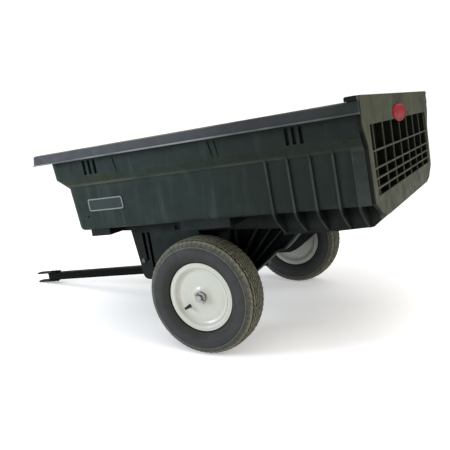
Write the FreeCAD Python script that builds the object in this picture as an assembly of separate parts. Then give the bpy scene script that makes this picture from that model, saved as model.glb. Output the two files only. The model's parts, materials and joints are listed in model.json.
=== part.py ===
import FreeCAD, Part
import math
import os

# Tow-behind yard cart: a moulded plastic tub on two moulded axle supports, a steel axle with two
# pneumatic wheels, a square steel tongue with a strap clevis, and a lift-out tailgate.
#
# Sizes are in millimetres. Every piece is drawn in a level frame whose origin is the axle's centre:
# x runs rearwards, y to the cart's right and z up. The tub's pieces and the tongue's pieces are then
# pitched nose-down about the axle, so that both tyres and the clevis stand on the ground.

V = FreeCAD.Vector
X_AXIS = V(1, 0, 0)
Y_AXIS = V(0, 1, 0)
Z_AXIS = V(0, 0, 1)

# ---- driving dimensions ----------------------------------------------------------------------

tyre_radius = 200.0
tyre_half_width = 59.0
wheel_centre_y = 425.0
tub_pitch = 6.93

wall = 7.0
rear_plane = 606.0

# tub outline, level by level: height, front, half width and corner radius in plan
tub_levels = (
    (255.0, -480.0, 460.0, 36.0),
    (412.0, -489.0, 468.0, 38.0),
    (450.0, -519.0, 497.0, 42.0),
    (509.0, -524.0, 500.0, 44.0),
)
rim_bottom = 511.0
rim_top = 547.0
rim_half_bottom = 533.0
rim_half_top = 529.0
rim_front = -581.0
rim_corner = 46.0
rim_rear = 618.0
rim_lean = 4.0
rim_crown = 6.0
lip_height = 4.5
lip_reach = 3.0
skirt = 5.0

foot_round = 16.0
rim_round = 8.0

# lower part of the tub: narrower than the walls that overhang it, with a floor that falls to the rear;
# a belly at the front, ledges over the wheels and two quarters at the rear stand out from it
lower_half = 352.0
floor_front_x = -427.0
floor_front_z = 230.0
floor_rear_x = 583.0
floor_rear_z = 183.0
sill_z = 203.0
belly_rear_x = -343.0
belly_half = 446.0
belly_z = 231.0
ledge_x = (-40.0, 148.0)
ledge_half = 450.0
ledge_z = 227.0
quarter_front_x = 296.0
quarter_half_top = 403.0
quarter_half_bottom = 384.0
lower_top = 300.0
keel_z = 178.0
keel_y = (379.0, 385.5)
floor_rib_depth = 13.0
floor_rib_half = 2.5
floor_ribs_y = (-210.0, -70.0, 70.0, 210.0)
floor_ribs_x = (-380.0, -240.0, -100.0, 40.0, 180.0, 320.0, 460.0)

# stiffening fins of the rear quarters, from the shoulder down the wall and in under its overhang
fin_x = (307.0, 377.0, 446.0, 515.0, 571.5)
fin_thickness = 7.0
fin_outline = (
    (-482, 432), (-474, 414), (-466, 258), (-461, 244), (-448, 229), (-427, 211), (-408, 196),
    (-393, 186), (-382, 181), (-379, 183), (-379, 205), (-384, 262), (-440, 264), (-455, 300),
    (-461, 414), (-474, 440),
)
post_upper = ((-504, 509), (-501, 448), (-490, 440), (-490, 509))
post_lower = ((-503, 450), (-473, 411), (-466, 258), (-440, 255), (-440, 300), (-461, 412), (-480, 450))
post_front_x = (553.0, 568.0)

# recesses in the walls: vent slots and shallow grooves in the upper band, a blind hole and a square one
slot_x = (-357.0, -334.0, -311.0, 398.0, 419.0, 441.0)
slot_half = 5.5
slot_z = (456.0, 505.0)
slot_pads = ((-372.0, -298.0), (384.0, 456.0))
slot_depth_y = -487.0
band_grooves = ((-232.0, -220.0), (139.0, 151.0), (161.0, 171.0))
groove_width = 5.0
groove_z = (412.0, 503.0)
wall_hole = (-410.0, 305.0, 4.5)
square_recess = (-128.0, -106.0, 216.0, 231.0, 5.5)

# tailgate and the channel that it slides in
rail_front_x = 587.0
slot_front_x = 592.0
slot_rear_x = 598.5
rail_height = 12.0
gate_half_top = 512.0
gate_rear_x = 620.0
gate_top = 560.0
grid_pitch = 117.0
grid_rows = (481.0, 404.0, 355.0, 326.0, 299.0, 275.0)
grid_rib = 5.0
gate_clearance = 1.5
gate_low = 214.0
gate_skin = 4.0
gate_outline = (
    (gate_half_top, gate_top), (gate_half_top, 482), (498, 462), (472, 418), (466, 280), (462, 262),
    (395, 221), (335, 209),
)
top_band_z = (490.0, 540.0)
bottom_band_z = (200.0, 269.0)
cap_front_x = 583.0
cap_hook_half = 478.0
medallion_axes = (98.0, 29.0)
medallion_thickness = 4.0
medallion_y = -42.0
medallion_z = 497.0

# blank name panels on the tub's sides
plaque_x = -322.0
plaque_z = 346.0
plaque_length = 152.0
plaque_height = 44.0

# axle supports
support_outer_y = 345.0
support_inner_y = 285.0
support_wall = 6.0
support_bolt_x = (-296.0, -150.0, 144.0, 252.0)
support_bolt_y = 315.0
brace_x = -292.0
brace_z = 108.0
brace_radius = 12.7
support_front_x = -329.0
support_rear_x = 333.0
support_panel_rear_x = -38.0
support_panel = 5.0
support_ribs = (
    ((84, 230), (60, 20)), ((110, 230), (78, 20)), ((206, 224), (44, 8)), ((252, 212), (58, 0)),
    ((300, 210), (72, 4)),
)
support_slots = (
    ((-283, 212), (-270, 212), (-268, 112), (-278, 104)),
    ((-258, 212), (-247, 212), (-247, 72), (-257, 66)),
)
slot_depth = 22.0

# running gear
axle_radius = 9.525
axle_half_length = 478.0
cotter_y = 471.5
cotter_turn = -50.0
running_clearance = 0.05
hub_half_length = 38.0
hub_radius = 17.5
bearing_seat = 14.0
rim_flange_radius = 118.0
rim_seat_radius = 101.5
rim_half_width = 39.6
rim_sheet = 2.5
valve_radius = 66.0
valve_angle = 218.0

# tongue and clevis
tongue_half = 17.5
tongue_wall = 3.0
tongue_front_x = -1140.0
tongue_rear_x = 48.0
strap_thickness = 5.0
strap_half_width = 20.0
strap_rear_x = -1088.0
strap_tip_x = -1222.0
pin_hole_x = -1196.0
pin_hole_radius = 8.5
clevis_bolt_x = (-1127.0, -1103.0)
clevis_bolt_radius = 4.0
clevis_bolt_flats = 13.0
clevis_head_height = 3.6
clevis_nut_height = 4.5

strap_bottom = tongue_half + strap_thickness
strap_tip_reach = math.hypot(strap_tip_x, strap_bottom)
tongue_pitch = math.degrees(
    math.asin(tyre_radius / strap_tip_reach) - math.atan2(strap_bottom, -strap_tip_x)
)
floor_slope = (floor_front_z - floor_rear_z) / (floor_rear_x - floor_front_x)


# ---- shape helpers ---------------------------------------------------------------------------

def box(x0, x1, y0, y1, z0, z1):
    return Part.makeBox(x1 - x0, y1 - y0, z1 - z0, V(x0, y0, z0))


def rod(radius, start, end):
    start, end = V(*start), V(*end)
    return Part.makeCylinder(radius, (end - start).Length, start, end - start)


def tube(outer, inner, start, end):
    return rod(outer, start, end).cut(rod(inner, start, end))


def join(shapes):
    whole = shapes[0].fuse(shapes[1:]) if len(shapes) > 1 else shapes[0]
    return whole.removeSplitter()


def prism(points, direction):
    """A closed outline, given as 3-D points, pushed along a direction."""
    face = Part.Face(Part.makePolygon([V(*p) for p in list(points) + [points[0]]]))
    return face.extrude(direction)


def side_prism(points, y0, y1):
    """An outline in the x-z plane, from y0 to y1."""
    return prism([(x, y0, z) for x, z in points], V(0, y1 - y0, 0))


def end_prism(points, x0, x1):
    """An outline in the y-z plane, from x0 to x1."""
    return prism([(x0, y, z) for y, z in points], V(x1 - x0, 0, 0))


def turned(points):
    """A solid turned about the y axis from (radius, y) points."""
    face = Part.Face(Part.makePolygon([V(r, y, 0) for r, y in list(points) + [points[0]]]))
    return face.revolve(V(0, 0, 0), Y_AXIS, 360)


def hexagon(across, start, end):
    """A hexagonal bolt head or nut between two points."""
    start, end = V(*start), V(*end)
    circle = across / math.sqrt(3)
    corners = [
        V(circle * math.cos(math.radians(60 * i)), circle * math.sin(math.radians(60 * i)), 0)
        for i in range(6)
    ]
    face = Part.Face(Part.makePolygon(corners + corners[:1]))
    head = face.extrude(V(0, 0, (end - start).Length))
    head.Placement = FreeCAD.Placement(start, FreeCAD.Rotation(Z_AXIS, end - start))
    return head


def other_side(shape):
    return shape.mirror(V(0, 0, 0), Y_AXIS)


def both_sides(shape):
    return [shape, other_side(shape)]


def group(solids):
    return Part.makeCompound([s for shape in solids for s in shape.Solids])


# ---- tub -------------------------------------------------------------------------------------

def plan_wire(z, front, half, corner, rear):
    """The tub's outline in plan: square at the rear and rounded at both front corners."""
    bend = corner * (1 - math.sqrt(0.5))
    edges = [
        Part.LineSegment(V(rear, -half, z), V(front + corner, -half, z)),
        Part.Arc(
            V(front + corner, -half, z), V(front + bend, -half + bend, z), V(front, -half + corner, z)
        ),
        Part.LineSegment(V(front, -half + corner, z), V(front, half - corner, z)),
        Part.Arc(
            V(front, half - corner, z), V(front + bend, half - bend, z), V(front + corner, half, z)
        ),
        Part.LineSegment(V(front + corner, half, z), V(rear, half, z)),
        Part.LineSegment(V(rear, half, z), V(rear, -half, z)),
    ]
    return Part.Wire([e.toShape() for e in edges])


def plan_solid(levels, rear, inset=0.0):
    """A solid through successive plan outlines, each drawn in by the inset."""
    layers = []
    for low, high in zip(levels, levels[1:]):
        wires = [
            plan_wire(z, front + inset, half - inset, corner - inset / 2, rear)
            for z, front, half, corner in (low, high)
        ]
        layers.append(Part.makeLoft(wires, True, True))
    return join(layers)


def floor_z(x):
    """Height of the floor's underside."""
    return floor_front_z - floor_slope * (x - floor_front_x)


def rounded_foot(levels, radius):
    """Plan levels with the edge round the lowest one rounded off."""
    z, front, half, corner = levels[0]
    foot = []
    for angle in (0, 30, 60, 90):
        step = radius * (1 - math.sin(math.radians(angle)))
        rise = radius * (1 - math.cos(math.radians(angle)))
        foot.append((z + rise, front + step, half - step, corner - step))
    return tuple(foot) + tuple(levels[1:])


def lower_room(inset, rear):
    """The lower part of the tub, with its sloping floor and upturned sill, drawn in by the inset."""
    sill_rise = (sill_z - floor_rear_z) / (rear_plane - floor_rear_x)
    along = side_prism(
        [
            (floor_front_x + inset, lower_top),
            (floor_front_x + inset, floor_z(floor_front_x + inset) + inset),
            (floor_rear_x, floor_rear_z + inset),
            (rear, floor_rear_z + inset + sill_rise * (rear - floor_rear_x)),
            (rear, lower_top),
        ],
        -ledge_half, ledge_half,
    )
    half = lower_half - inset
    middle = box(floor_front_x, rear, -half, half, 100, lower_top)
    high, low = quarter_half_top - inset, quarter_half_bottom - inset
    quarters = end_prism(
        [(-high, lower_top), (-low, keel_z), (low, keel_z), (high, lower_top)], quarter_front_x + inset, rear
    )
    half = belly_half - inset
    belly = box(floor_front_x + inset, belly_rear_x - inset, -half, half, belly_z + inset, lower_top)
    half = ledge_half - inset
    ledges = box(ledge_x[0] + inset, ledge_x[1] - inset, -half, half, ledge_z + inset, lower_top)
    return join([middle.common(along), quarters.common(along), belly, ledges])


def keel():
    """The flange that closes the lower edge of a rear quarter."""
    return side_prism(
        [
            (quarter_front_x, floor_z(quarter_front_x) + 3),
            (floor_rear_x, floor_rear_z + 3),
            (floor_rear_x, floor_rear_z),
            (floor_rear_x - 108, keel_z),
            (quarter_front_x, keel_z),
        ],
        -keel_y[1], -keel_y[0],
    )


def cavity(inset, rear):
    """The room inside the tub, open at the top and the rear."""
    z, front, half, corner = tub_levels[0]
    bottom = (z + inset, front + inset, half - inset, corner)
    top_level = (gate_top + 30, tub_levels[-1][1] + inset, tub_levels[-1][2] - inset, tub_levels[-1][3])
    middle = [(z, front + inset, half - inset, corner) for z, front, half, corner in tub_levels[1:]]
    levels = rounded_foot([bottom] + middle + [top_level], foot_round - wall)
    return join([plan_solid(levels, rear), lower_room(inset, rear)])


def cargo_space():
    """The inside, drawn in at the rear by the two rails of the tailgate's channel."""
    room = cavity(wall, rear_plane + 30)
    narrow = cavity(wall + rail_height, rear_plane + 30)
    floor_strip = lower_room(wall, rear_plane + 30)
    half = lower_half - rail_height
    narrow = join([narrow, floor_strip.common(box(500, 700, -half, half, 150, 260))])
    tall = (-600, 600, 100, 700)
    rails = [
        box(rail_front_x, slot_front_x, *tall),
        box(slot_rear_x, rear_plane + 40, *tall),
    ]
    walls_between = [narrow.common(r) for r in rails]
    return join([room.cut(group(rails))] + walls_between)


def rim():
    """The rolled top edge: a hollow inverted channel with a small lip along its bottom."""
    levels = [(rim_bottom, rim_front, rim_half_bottom, rim_corner)]
    for angle in (0, 30, 60, 90):
        step = rim_lean + rim_round * (1 - math.cos(math.radians(angle)))
        drop = rim_round * (1 - math.sin(math.radians(angle)))
        levels.append((rim_top - drop, rim_front + step, rim_half_bottom - step, rim_corner - step))
    shell = plan_solid(levels, rim_rear)
    inner = skirt + rim_lean
    hollow = plan_solid(
        [
            (rim_bottom - 8, rim_front + skirt, rim_half_bottom - skirt, rim_corner - skirt),
            (rim_top - rim_crown, rim_front + inner, rim_half_bottom - inner, rim_corner - inner),
        ],
        rim_rear - skirt,
    )
    band = tub_levels[-1][1:]
    kept_wall = plan_solid([(rim_bottom - 20,) + band, (rim_top - 5,) + band], rear_plane)
    lip_plan = (rim_front - lip_reach, rim_half_bottom + lip_reach, rim_corner + lip_reach)
    lip = plan_solid([(rim_bottom,) + lip_plan, (rim_bottom + lip_height,) + lip_plan], rim_rear)
    return join([shell, lip]).cut(hollow.cut(kept_wall))


def fin(x):
    return end_prism(fin_outline, x - fin_thickness / 2, x + fin_thickness / 2)


def corner_post():
    """The thickened rear edge of a side wall, stepping back below the shoulder."""
    upper = end_prism(post_upper, post_front_x[0], rear_plane)
    lower = end_prism(post_lower, post_front_x[1], rear_plane)
    return join([upper, lower])


def wall_recesses():
    """The vent slots, grooves and holes of the left side, as solids to take away."""
    outside = -tub_levels[-1][2]
    recesses = [box(x - slot_half, x + slot_half, outside - 4, slot_depth_y, *slot_z) for x in slot_x]
    low, high = groove_z
    for top, bottom in band_grooves:
        lean = (bottom - top) * 1.35
        outline = [
            (top, high), (top + groove_width, high), (top + groove_width + lean, low), (top + lean, low),
        ]
        recesses.append(side_prism(outline, outside - 5, outside + 4.4))
    x, z, radius = wall_hole
    recesses.append(rod(radius, (x, outside, z), (x, outside + 41.5, z)))
    x0, x1, z0, z1, deep = square_recess
    recesses.append(box(x0, x1, -lower_half - 1, -lower_half + deep, z0, z1))
    return recesses


def tub():
    walls = plan_solid(rounded_foot(tub_levels, foot_round), rear_plane)
    band = tub_levels[-1][1:]
    collar = plan_solid([(tub_levels[-1][0] - 4,) + band, (rim_bottom + 4,) + band], rear_plane)
    extras = [corner_post(), keel()] + [fin(x) for x in fin_x]
    extras = [piece for shape in extras for piece in both_sides(shape)]
    shell = join([walls, lower_room(0, rear_plane), collar, rim()] + extras).cut(cargo_space())
    pads = [box(x0, x1, -493, -479, slot_z[0] - 4, slot_z[1] + 4) for x0, x1 in slot_pads]
    shell = join([shell] + [piece for shape in pads for piece in both_sides(shape)])
    half = gate_half_top + 2.5
    notch = box(rear_plane, rear_plane + 50, -half, half, 380, 600)
    recesses = [piece for shape in wall_recesses() for piece in both_sides(shape)]
    shell = shell.cut(group(recesses + [notch]))
    end_webs = both_sides(box(rear_plane - 5, rear_plane, -526, -498, rim_bottom, rim_top - 3))
    half = floor_rib_half
    ribs = [floor_rib(-410, 560, y - half, y + half) for y in floor_ribs_y]
    ribs += [floor_rib(x - half, x + half, -275, 275) for x in floor_ribs_x]
    return join([shell] + end_webs + ribs).cut(support_bolt_holes(4.5))


def floor_rib(x0, x1, y0, y1):
    """A shallow stiffening rib that hangs from the floor's underside."""
    top, bottom = 2, -floor_rib_depth
    corners = ((x0, top), (x1, top), (x1, bottom), (x0, bottom))
    return side_prism([(x, floor_z(x) + step) for x, step in corners], y0, y1)


# ---- axle supports ---------------------------------------------------------------------------

def on_floor(shape, x, y):
    """Places a shape drawn about the z axis square to the sloping floor's underside."""
    tilt = FreeCAD.Rotation(Y_AXIS, math.degrees(math.atan(floor_slope)))
    placed = shape.copy()
    placed.Placement = FreeCAD.Placement(V(x, y, floor_z(x)), tilt).multiply(placed.Placement)
    return placed


def support_bolt_holes(radius):
    drill = rod(radius, (0, 0, -20), (0, 0, 20))
    return group([on_floor(drill, x, y) for x in support_bolt_x for y in (-support_bolt_y, support_bolt_y)])


def support_outline():
    front, rear = support_front_x, support_rear_x
    return [
        (front, floor_z(front)), (-312, 101), (-307, 52), (-301, 41), (-290, 36), (-262, 34),
        (-60, -26), (-34, -36), (20, -36), (48, -26), (160, 51), (243, 112), (272, 118), (300, 143),
        (rear, 174), (rear, floor_z(rear)),
    ]


def inner_outline(inset):
    wire = Part.makePolygon([V(x, 0, z) for x, z in support_outline() + support_outline()[:1]])
    return Part.Face(wire).makeOffset2D(-inset, 2, False, False, True)


def axle_support():
    """The left support: an inner web, a wall all round, ribs that fan out from the axle boss,
    and a closed front panel."""
    solid = side_prism(support_outline(), -support_outer_y, -support_inner_y)
    pocket = inner_outline(support_wall).extrude(V(0, -70, 0))
    pocket.translate(V(0, -support_inner_y - support_wall, 0))
    frame = solid.cut(pocket)
    outer, inner = -support_outer_y, -support_inner_y
    rib_x = support_panel_rear_x
    panel = solid.common(box(support_front_x - 10, rib_x, outer, outer + support_panel, -60, 260))
    ribs = [box(rib_x - 6, rib_x, outer, inner, -40, 260)]
    for (x0, z0), (x1, z1) in support_ribs:
        ribs.append(side_prism([(x0 - 3, z0), (x0 + 3, z0), (x1 + 3, z1), (x1 - 3, z1)], outer + 2, inner))
    ribs = [r.common(solid) for r in ribs]
    boss = rod(31, (0, outer, 0), (0, inner, 0))
    brace_boss = rod(19, (brace_x, outer, brace_z), (brace_x, inner, brace_z)).common(solid)
    body = join([frame, panel, boss, brace_boss] + ribs)
    slots = [side_prism(outline, outer - 1, outer + slot_depth) for outline in support_slots]
    holes = [
        rod(12.5, (0, outer - 1, 0), (0, inner + 1, 0)),
        rod(5.2, (brace_x, outer - 1, brace_z), (brace_x, inner + 1, brace_z)),
        support_bolt_holes(4.5),
    ]
    return body.cut(group(slots + holes))


def pivot_bush():
    """A nylon bush with a flange at each face of the support, made in two halves."""
    bore = axle_radius + running_clearance
    halves = []
    middle = (support_outer_y + support_inner_y) / 2
    for face, out in ((support_outer_y, 1), (support_inner_y, -1)):
        sleeve = rod(12.5, (0, -face, 0), (0, -middle - out * 0.25, 0))
        flange = rod(18, (0, -face, 0), (0, -face - out * 2.0, 0))
        halves.append(join([sleeve, flange]).cut(rod(bore, (0, -360, 0), (0, -270, 0))))
    return group(halves)


def support_bolts():
    """Carriage bolts: domed heads on the floor inside, shanks down through each support."""
    dome = Part.makeSphere(14, V(0, 0, wall - 7.5)).common(box(-20, 20, -20, 20, wall, 30))
    shank = rod(4, (0, 0, -19), (0, 0, wall))
    bolt = join([dome, shank])
    return group([on_floor(bolt, x, y) for x in support_bolt_x for y in (-support_bolt_y, support_bolt_y)])


def support_nuts():
    washer = tube(9, 4.1, (0, 0, -support_wall - 1.6), (0, 0, -support_wall))
    nut = hexagon(13, (0, 0, -support_wall - 8.4), (0, 0, -support_wall - 1.7))
    nut = nut.cut(rod(4.05, (0, 0, -30), (0, 0, 0)))
    spots = [(x, y) for x in support_bolt_x for y in (-support_bolt_y, support_bolt_y)]
    return group([on_floor(s, x, y) for x, y in spots for s in (washer, nut)])


def front_brace():
    """The steel cross tube between the two supports, with a threaded plug in each end."""
    end = support_inner_y
    shell = tube(brace_radius, brace_radius - 2, (brace_x, -end, brace_z), (brace_x, end, brace_z))
    plugs = [
        tube(brace_radius - 2, 5.1, (brace_x, s * end, brace_z), (brace_x, s * (end - 22), brace_z))
        for s in (-1, 1)
    ]
    return join([shell] + plugs)


def brace_bolts():
    bolts = []
    for s in (-1, 1):
        out = s * support_outer_y
        shank = rod(5.0, (brace_x, out, brace_z), (brace_x, s * (support_inner_y - 20), brace_z))
        washer = rod(9, (brace_x, out, brace_z), (brace_x, out + s * 2, brace_z))
        head = hexagon(13, (brace_x, out + s * 2, brace_z), (brace_x, out + s * 7, brace_z))
        bolts.append(join([shank, washer, head]))
    return group(bolts)


def plaque_block(margin, radius, y0, y1):
    """A rounded block of the plaque's outline, drawn in by a margin."""
    half_length, half_height = plaque_length / 2 - margin, plaque_height / 2 - margin
    block = box(
        plaque_x - half_length, plaque_x + half_length, y0, y1, plaque_z - half_height, plaque_z + half_height
    )
    return block.makeFillet(radius, [e for e in block.Edges if abs(e.tangentAt(e.FirstParameter).y) > 0.9])


def side_plaques():
    """A blank moulded name panel on each side: a raised border round a plain field."""
    plate = plaque_block(0, 9, -2.6, 0).cut(plaque_block(4, 6, -3, -1.6))
    low, high = tub_levels[0], tub_levels[1]
    lean = (high[2] - low[2]) / (high[0] - low[0] - foot_round)
    face_y = low[2] + lean * (plaque_z - low[0] - foot_round)
    plate.rotate(V(plaque_x, 0, plaque_z), X_AXIS, math.degrees(math.atan(lean)))
    plate.translate(V(0, -face_y, 0))
    return group(both_sides(plate))


# ---- tailgate --------------------------------------------------------------------------------

def gate_slice(inset, x0, x1, z_low):
    """A slice of the tub's room, used for the parts of the tailgate that fill it."""
    return cavity(inset, rear_plane + 30).common(box(x0, x1, -600, 600, z_low, rim_top))


def grid_pockets():
    """The square pockets between the tailgate's outer ribs."""
    half_grid = 3.5 * grid_pitch
    columns = [-half_grid - 34] + [-half_grid + grid_pitch * i for i in range(8)] + [half_grid + 34]
    pockets = []
    for left, right in zip(columns, columns[1:]):
        for top, bottom in zip(grid_rows, grid_rows[1:]):
            outer_lean = 0.08 * (grid_rows[0] - (top + bottom) / 2)
            y0 = left + (outer_lean if left == columns[0] else grid_rib / 2)
            y1 = right - (outer_lean if right == columns[-1] else grid_rib / 2)
            z0, z1 = bottom + grid_rib / 2, top - grid_rib / 2
            pockets.append(box(slot_rear_x - 1, gate_rear_x + 1, y0, y1, z0, z1))
    return pockets


def band_pockets():
    """The hollows behind the tailgate's plain top and bottom bands."""
    skin_x = gate_rear_x - gate_skin
    pockets = []
    for i in range(-4, 4):
        left, right = i * grid_pitch + 3, (i + 1) * grid_pitch - 3
        pockets.append(box(slot_front_x, skin_x, left, right, *top_band_z))
        if -3 <= i < 3:
            pockets.append(box(slot_rear_x - 1, skin_x, left, right, *bottom_band_z))
    return pockets


def tailgate():
    outer_inset = wall + gate_clearance
    inner_inset = wall + rail_height + gate_clearance
    skin = gate_slice(outer_inset, slot_front_x + 1, slot_rear_x - 1, gate_low)
    neck = gate_slice(inner_inset, slot_rear_x - 2, rear_plane + 2, gate_low + 1)
    outline = list(gate_outline) + [(-y, z) for y, z in reversed(gate_outline)]
    panel = end_prism(outline, rear_plane + 1, gate_rear_x)
    half = rim_half_bottom - 1
    cap = box(cap_front_x, gate_rear_x - 1, -half, half, rim_top + 0.4, gate_top)
    long_edges = [e for e in cap.Edges if abs(e.tangentAt(e.FirstParameter).y) > 0.9]
    cap = cap.makeFillet(5, [e for e in long_edges if e.CenterOfMass.z > gate_top - 5])
    hook = box(cap_front_x, cap_front_x + 6, -cap_hook_half, cap_hook_half, rim_top - 8, rim_top + 2)
    body = join([skin, neck, panel, cap, hook])
    return body.cut(group(grid_pockets() + band_pockets()))


def tailgate_badge():
    """A plain oval medallion on the tailgate's top panel."""
    edge = Part.Ellipse(V(0, 0, 0), *medallion_axes).toShape()
    disc = Part.Face(Part.Wire([edge])).extrude(V(0, 0, medallion_thickness))
    level_edges = [e for e in disc.Edges if e.BoundBox.ZLength < 0.1]
    disc = disc.makeFillet(2.5, [e for e in level_edges if e.CenterOfMass.z > medallion_thickness - 0.1])
    turn = FreeCAD.Rotation(V(0, 1, 0), V(0, 0, 1), V(1, 0, 0), "ZXY")
    disc.Placement = FreeCAD.Placement(V(gate_rear_x, medallion_y, medallion_z), turn)
    return disc


# ---- running gear ----------------------------------------------------------------------------

def axle():
    bar = rod(axle_radius, (0, -axle_half_length, 0), (0, axle_half_length, 0))
    bar = bar.makeChamfer(1.2, [e for e in bar.Edges if abs(abs(e.CenterOfMass.y) - axle_half_length) < 0.1])
    holes = [rod(4.1, (0, 0, -20), (0, 0, 20))]
    for side in (-1, 1):
        hole = rod(2.4, (0, side * cotter_y, -20), (0, side * cotter_y, 20))
        hole.rotate(V(0, 0, 0), Y_AXIS, cotter_turn)
        holes.append(hole)
    return bar.cut(group(holes))


def axle_spacers():
    inner = [tube(13, 9.7, (0, s * 19.4, 0), (0, s * (support_inner_y - 2.5), 0)) for s in (-1, 1)]
    hub_inner = wheel_centre_y - hub_half_length - 2
    start, end = support_outer_y + 2.5, hub_inner - 0.5
    outer = [tube(13, 9.7, (0, s * start, 0), (0, s * end, 0)) for s in (-1, 1)]
    return group(inner + outer)


def axle_washers():
    hub_outer = wheel_centre_y + hub_half_length + 2
    return group([tube(19, 9.8, (0, s * (hub_outer + 0.5), 0), (0, s * (hub_outer + 3), 0)) for s in (-1, 1)])


def cotter_pins():
    """Split pins through the axle's ends: an eye, two legs, and the legs' spread tips."""
    pins = []
    for side in (-1, 1):
        y = side * cotter_y
        legs = rod(2.1, (0, y, -17), (0, y, 13))
        eye = Part.makeTorus(5.0, 2.1, V(0, y, 17), Y_AXIS)
        tips = [rod(1.6, (0, y, -16), (spread, y, -25)) for spread in (-6, 6)]
        pin = join([legs, eye] + tips)
        pin.rotate(V(0, y, 0), Y_AXIS, cotter_turn)
        pins.append(pin)
    return group(pins)


def tyre():
    """Casing of a 4.80/4.00-8 tyre about the y axis, hollow inside."""
    outside = [
        (101.8, 33.6), (104.6, 36.6), (108, 36.9), (118.6, 36.9), (121, 40), (128, 48), (140, 55.5),
        (152, 58.6),
        (163, 58.8), (174, 56.2), (184, 51.2), (191, 46), (195.6, 40), (198.2, 30), (199.6, 15), (200, 0),
    ]
    inside = [
        (192, 0), (191, 20), (187, 33), (180, 43), (166, 50.5), (150, 50.5), (132, 44), (120, 33), (113, 29),
        (101.8, 28),
    ]
    profile = outside + [(r, -y) for r, y in reversed(outside[:-1])]
    profile += [(r, -y) for r, y in reversed(inside)] + inside[1:]
    return turned(profile)


def rim_barrel():
    """The pressed steel barrel that the tyre sits on, with a flange at each side."""
    edge = rim_half_width
    seat = rim_seat_radius
    upper = [
        (rim_flange_radius, edge), (rim_flange_radius, edge - rim_sheet), (seat + 3, edge - rim_sheet),
        (seat, edge - rim_sheet - 3), (seat - 1, 18), (seat - 9.5, 11),
    ]
    lower = [(seat - 12, 13.4), (seat - 3.6, 19), (seat - 3, edge - 4), (seat + 1, edge)]
    profile = upper + [(r, -y) for r, y in reversed(upper)]
    profile += [(r, -y) for r, y in reversed(lower)] + lower
    return turned(profile)


def rim_disc():
    """The outboard one of the two dished discs welded inside the barrel, which carry the hub."""
    bore = hub_radius + 0.1
    outer = [(97.9, -26), (96, -27.5), (90, -24.5), (80, -22.5), (60, -23), (40, -26), (28, -30), (bore, -33)]
    inner = [(bore, -30.4), (27, -27.4), (39, -23.4), (60, -20.4), (80, -19.9), (90, -21.7), (97.9, -23.4)]
    return turned(outer + inner)


def wheel_parts(side):
    """The wheel's pieces by name, centred on the wheel and with the outboard face at -y, then set in
    place on the left (side -1) or the right (side 1)."""
    hub = tube(hub_radius, bearing_seat, (0, -hub_half_length, 0), (0, hub_half_length, 0))
    bearings = []
    for end in (-1, 1):
        seat = rod(bearing_seat, (0, end * hub_half_length, 0), (0, end * (hub_half_length - 13), 0))
        flange = rod(hub_radius + 1, (0, end * hub_half_length, 0), (0, end * (hub_half_length + 2), 0))
        bore = rod(axle_radius + running_clearance, (0, -60, 0), (0, 60, 0))
        bearings.append(join([seat, flange]).cut(bore))
    x = valve_radius * math.cos(math.radians(valve_angle))
    z = valve_radius * math.sin(math.radians(valve_angle))
    hole = rod(5.6, (x, -40, z), (x, 0, z))
    stem = join([
        rod(8.5, (x, -19.8, z), (x, -15, z)),
        rod(5.5, (x, -40, z), (x, -19, z)),
        rod(7.5, (x, -27, z), (x, -23.6, z)),
        rod(3.6, (x, -48, z), (x, -39, z)),
    ])
    cap = rod(4.9, (x, -53, z), (x, -42, z)).cut(rod(3.65, (x, -48.1, z), (x, -40, z)))
    discs = [rim_disc().cut(hole), other_side(rim_disc())]
    parts = {
        "tyre": tyre(), "rim_barrel": rim_barrel(), "rim_disc": group(discs), "hub": hub,
        "wheel_bearings": group(bearings), "valve_stem": stem, "valve_cap": cap,
    }
    for shape in parts.values():
        shape.translate(V(0, -wheel_centre_y, 0))
    return parts if side < 0 else {name: other_side(shape) for name, shape in parts.items()}


# ---- tongue ----------------------------------------------------------------------------------

def to_tongue_frame(x, z):
    """A point of the tub's frame, as it lies at rest, in the tongue's frame."""
    turn = math.radians(tongue_pitch - tub_pitch)
    return x * math.cos(turn) + z * math.sin(turn), -x * math.sin(turn) + z * math.cos(turn)


def tongue_tube():
    half = tongue_half
    outer = box(tongue_front_x, tongue_rear_x, -half, half, -half, half)
    outer = outer.makeFillet(4, [e for e in outer.Edges if e.Length > 500])
    inner = half - tongue_wall
    bar = outer.cut(box(tongue_front_x - 1, tongue_rear_x + 1, -inner, inner, -inner, inner))
    holes = [rod(axle_radius + 0.1, (0, -30, 0), (0, 30, 0)), rod(4.1, (0, 0, -30), (0, 0, 30))]
    holes += [rod(clevis_bolt_radius + 0.1, (x, 0, -30), (x, 0, 30)) for x in clevis_bolt_x]
    return bar.cut(group(holes))


def clevis_strap(side):
    """One flat strap of the clevis, with a rounded tip, above (side 1) or below (side -1) the tongue."""
    low = tongue_half if side > 0 else -tongue_half - strap_thickness
    nose = strap_tip_x + strap_half_width
    bar = box(nose, strap_rear_x, -strap_half_width, strap_half_width, low, low + strap_thickness)
    tip = rod(strap_half_width, (nose, 0, low), (nose, 0, low + strap_thickness))
    holes = [rod(pin_hole_radius, (pin_hole_x, 0, -40), (pin_hole_x, 0, 40))]
    holes += [rod(clevis_bolt_radius + 0.1, (x, 0, -40), (x, 0, 40)) for x in clevis_bolt_x]
    return join([bar, tip]).cut(group(holes))


def clevis_bolts():
    top = tongue_half + strap_thickness
    bolts = []
    for x in clevis_bolt_x:
        shank = rod(clevis_bolt_radius, (x, 0, -top - clevis_nut_height - 1), (x, 0, top))
        head = hexagon(clevis_bolt_flats, (x, 0, top), (x, 0, top + clevis_head_height))
        bolts.append(join([shank, head]))
    return group(bolts)


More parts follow.
